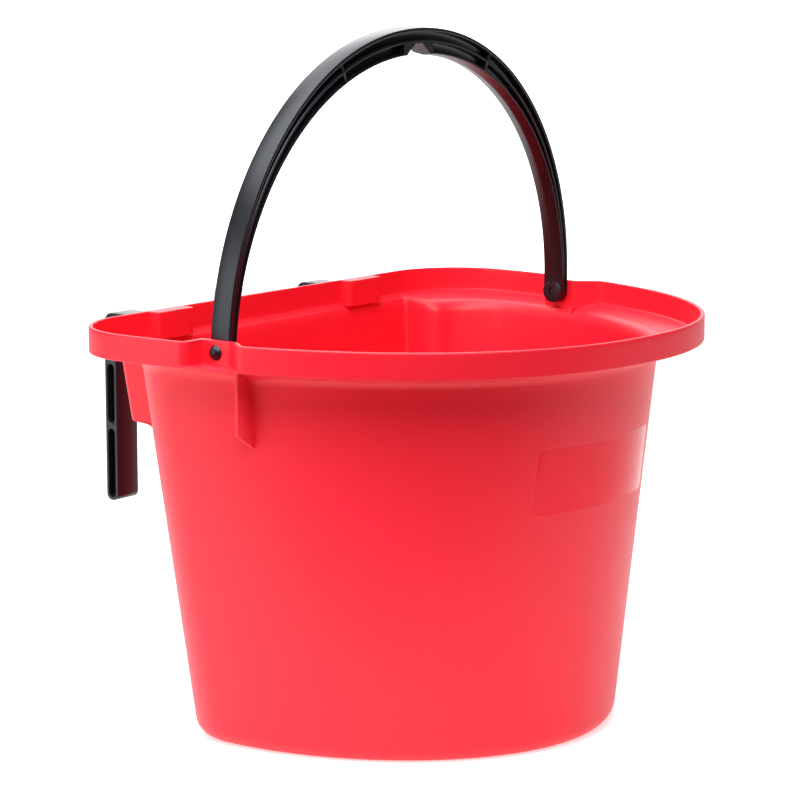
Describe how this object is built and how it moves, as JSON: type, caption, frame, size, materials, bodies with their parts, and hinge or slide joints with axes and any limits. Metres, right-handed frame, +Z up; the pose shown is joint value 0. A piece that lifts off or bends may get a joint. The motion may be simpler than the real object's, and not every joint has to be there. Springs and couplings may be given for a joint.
{
  "type": "portable hanging feed bucket",
  "caption": "D-shaped moulded feed tub with a wide banded rim, a flat back box, a swinging arched bail handle and moulded hooks that hang it on a stable rail.",
  "frame": {"origin": "on the floor, at the middle of the base's flat underside, straight below the handle's pivot line", "axes": "+X along the handle's pivot line and the flat back, +Y towards the back and the hooks, +Z up"},
  "size_m": [0.424, 0.3792, 0.4733],
  "materials": {
    "red_plastic": "satin moulded polypropylene",
    "black_plastic": "semi-gloss moulded polypropylene"
  },
  "bodies": {
    "root": {"tub": "red_plastic", "hook_left": "black_plastic", "hook_right": "black_plastic"},
    "bail": {"handle": "black_plastic", "stud_left": "black_plastic", "stud_right": "black_plastic"}
  },
  "joints": [
    {"name": "handle_swing", "type": "hinge", "parent": "root", "child": "bail", "pos_m": [0, 0, 0.2735], "axis": [1, 0, 0], "range_deg": [-84.5, 87.5]}
  ]
}
